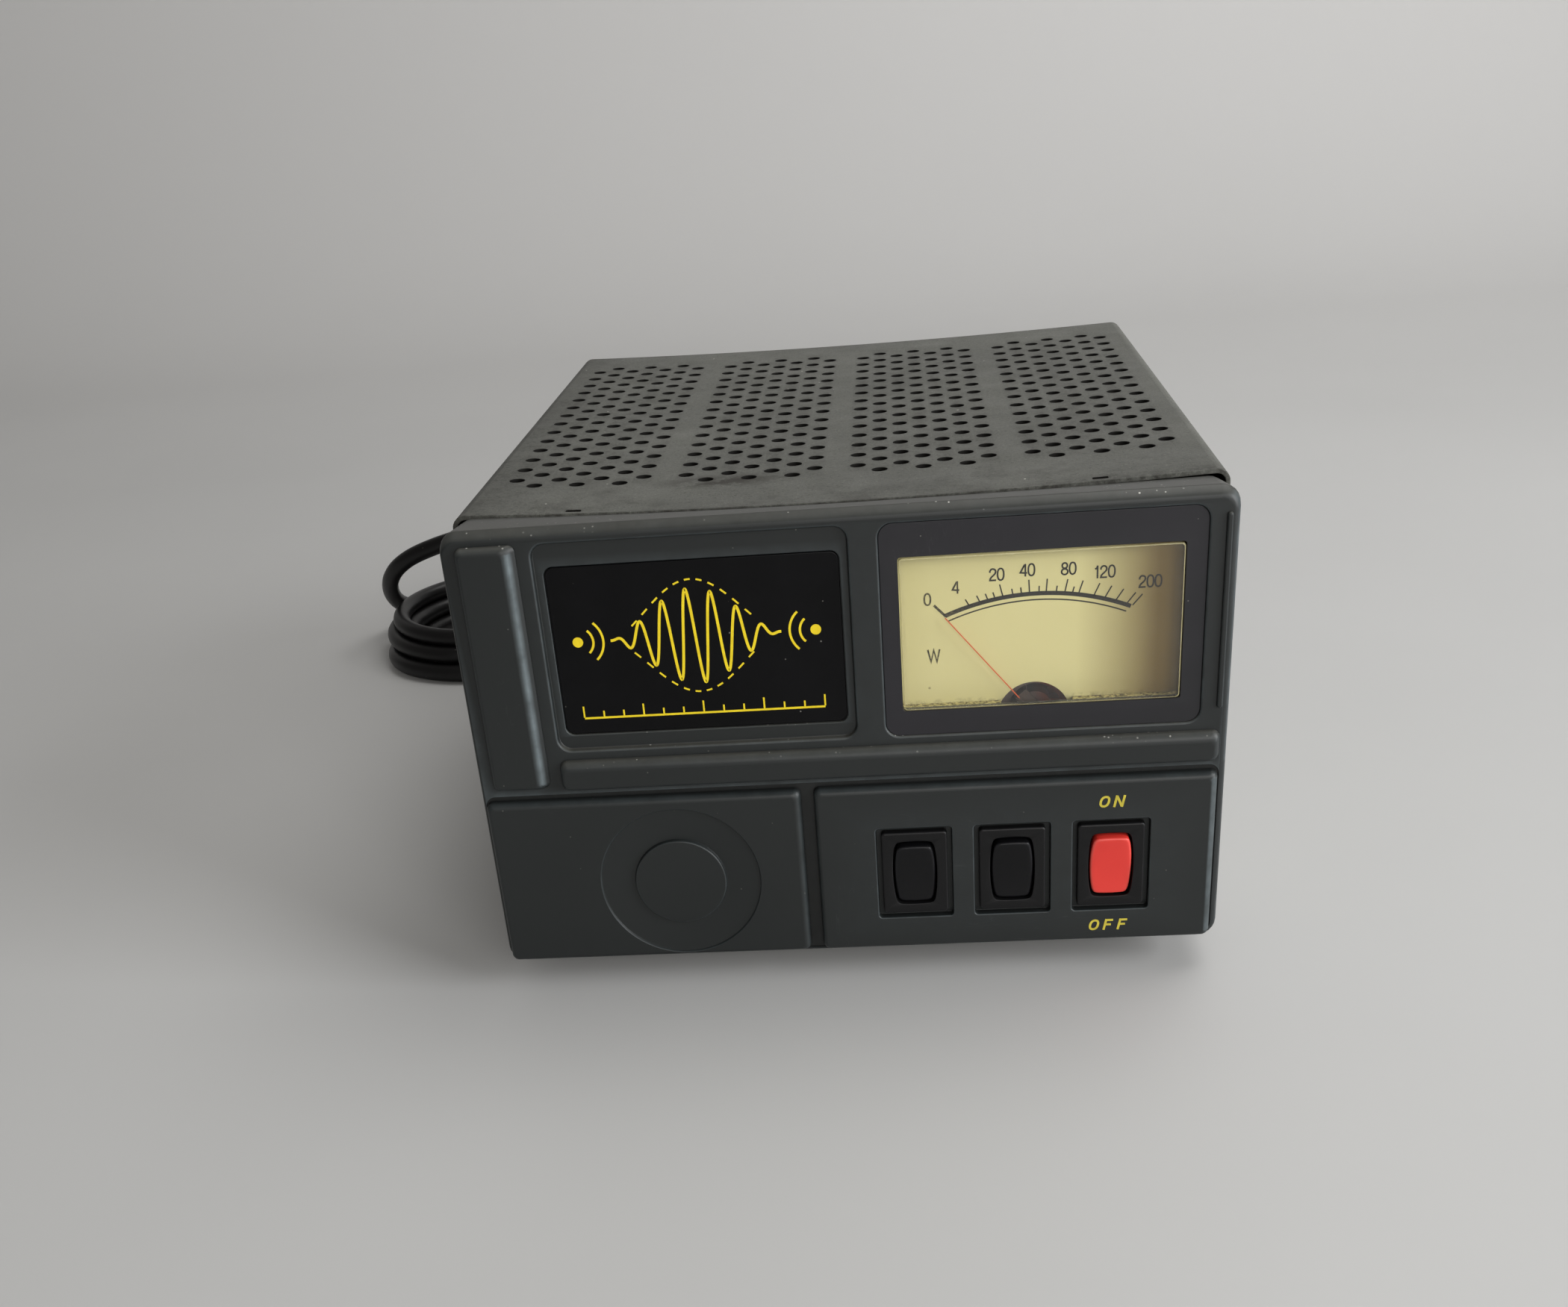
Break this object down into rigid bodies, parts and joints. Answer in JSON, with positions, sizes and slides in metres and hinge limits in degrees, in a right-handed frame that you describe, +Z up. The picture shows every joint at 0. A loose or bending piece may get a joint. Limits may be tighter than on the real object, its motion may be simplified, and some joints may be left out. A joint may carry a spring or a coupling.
{
  "type": "hf linear amplifier",
  "caption": "Desktop shortwave linear amplifier: moulded front with power meter, dark window and rocker switches, vented steel cover, rear coaxial sockets and a coiled mains cord.",
  "frame": {"origin": "on the surface the feet stand on, under the middle of the amplifier without its cord", "axes": "+Z up, front panel faces -Y, +X to the right seen from the front"},
  "size_m": [0.2714, 0.3051, 0.111],
  "materials": {
    "bezel_plastic": "fine satin moulding, scuffed",
    "dark_window": "printed dark acrylic",
    "meter_plastic": "smooth moulding",
    "clear_plastic": "clear polystyrene",
    "dial_paint": "cream enamel with printed scale",
    "meter_metal": "plated, dark",
    "needle_paint": "orange-red lacquer",
    "lamp_glass": "small clear bulbs",
    "switch_plastic": "black nylon",
    "rocker_black": "black nylon",
    "rocker_red": "red nylon",
    "plated_metal": "bright zinc and tin plating",
    "cover_paint": "grey semi-gloss paint, speckled and worn",
    "chassis_steel": "zinc plated sheet",
    "rubber": "black rubber",
    "core_steel": "varnished laminations",
    "winding": "enamelled wire under tape",
    "board": "glass epoxy laminate",
    "brass": "turned brass",
    "ceramic": "glazed ceramic",
    "valve_glass": "glass envelope with dark internals",
    "capacitor_sleeve": "shrink sleeve",
    "relay_plastic": "moulded case",
    "socket_plating": "nickel plating",
    "cord_pvc": "black flexible PVC",
    "pin_plating": "nickel plating"
  },
  "bodies": {
    "cabinet": {"front_bezel": "bezel_plastic", "window_panel": "dark_window", "meter_faceplate": "meter_plastic", "meter_lens": "clear_plastic", "meter_dial": "dial_paint", "meter_case": "meter_plastic", "meter_movement": "meter_metal", "meter_lamps": "lamp_glass", "left_switch_body": "switch_plastic", "middle_switch_body": "switch_plastic", "power_switch_body": "switch_plastic", "switch_terminals": "plated_metal", "top_cover": "cover_paint", "cover_screws": "plated_metal", "chassis": "chassis_steel", "bezel_screws": "plated_metal", "feet": "rubber", "foot_screws": "plated_metal", "transformer_core": "core_steel", "transformer_winding": "winding", "transformer_strap": "chassis_steel", "transformer_screws": "plated_metal", "rf_board": "board", "supply_board": "board", "board_standoffs": "brass", "board_screws": "plated_metal", "valve_sockets": "ceramic", "power_valves": "valve_glass", "output_coil": "brass", "coil_former": "ceramic", "antenna_relay": "relay_plastic", "filter_capacitors": "capacitor_sleeve", "rectifier_diodes": "relay_plastic", "input_socket": "socket_plating", "output_socket": "socket_plating", "socket_insulators": "ceramic", "socket_contacts": "brass", "socket_screws": "plated_metal", "fuse_holder": "switch_plastic", "fuse_cap": "switch_plastic", "fuse": "lamp_glass", "wiring_loom": "cord_pvc", "strain_relief": "cord_pvc", "cord_lead": "cord_pvc", "cord_coil": "cord_pvc", "cord_tail": "cord_pvc", "mains_plug": "cord_pvc"},
    "left_rocker": {"left_rocker": "rocker_black"},
    "middle_rocker": {"middle_rocker": "rocker_black"},
    "power_rocker": {"power_rocker": "rocker_red"},
    "meter_needle": {"meter_needle": "needle_paint"}
  },
  "joints": [
    {"name": "left_rocker_tilt", "type": "hinge", "parent": "cabinet", "child": "left_rocker", "pos_m": [0.0145, -0.1048, 0.0276], "axis": [1, 0, 0], "range_deg": [-14, 0]},
    {"name": "middle_rocker_tilt", "type": "hinge", "parent": "cabinet", "child": "middle_rocker", "pos_m": [0.03645, -0.1048, 0.0276], "axis": [1, 0, 0], "range_deg": [-14, 0]},
    {"name": "power_rocker_tilt", "type": "hinge", "parent": "cabinet", "child": "power_rocker", "pos_m": [0.0584, -0.1048, 0.0276], "axis": [1, 0, 0], "range_deg": [-14, 0]},
    {"name": "meter_needle_swing", "type": "hinge", "parent": "cabinet", "child": "meter_needle", "pos_m": [0.0423, -0.0934, 0.062], "axis": [0, 1, 0], "range_deg": [0, 79], "stiffness_Nm_per_rad": 0.0004, "springref_deg": -17.19}
  ]
}
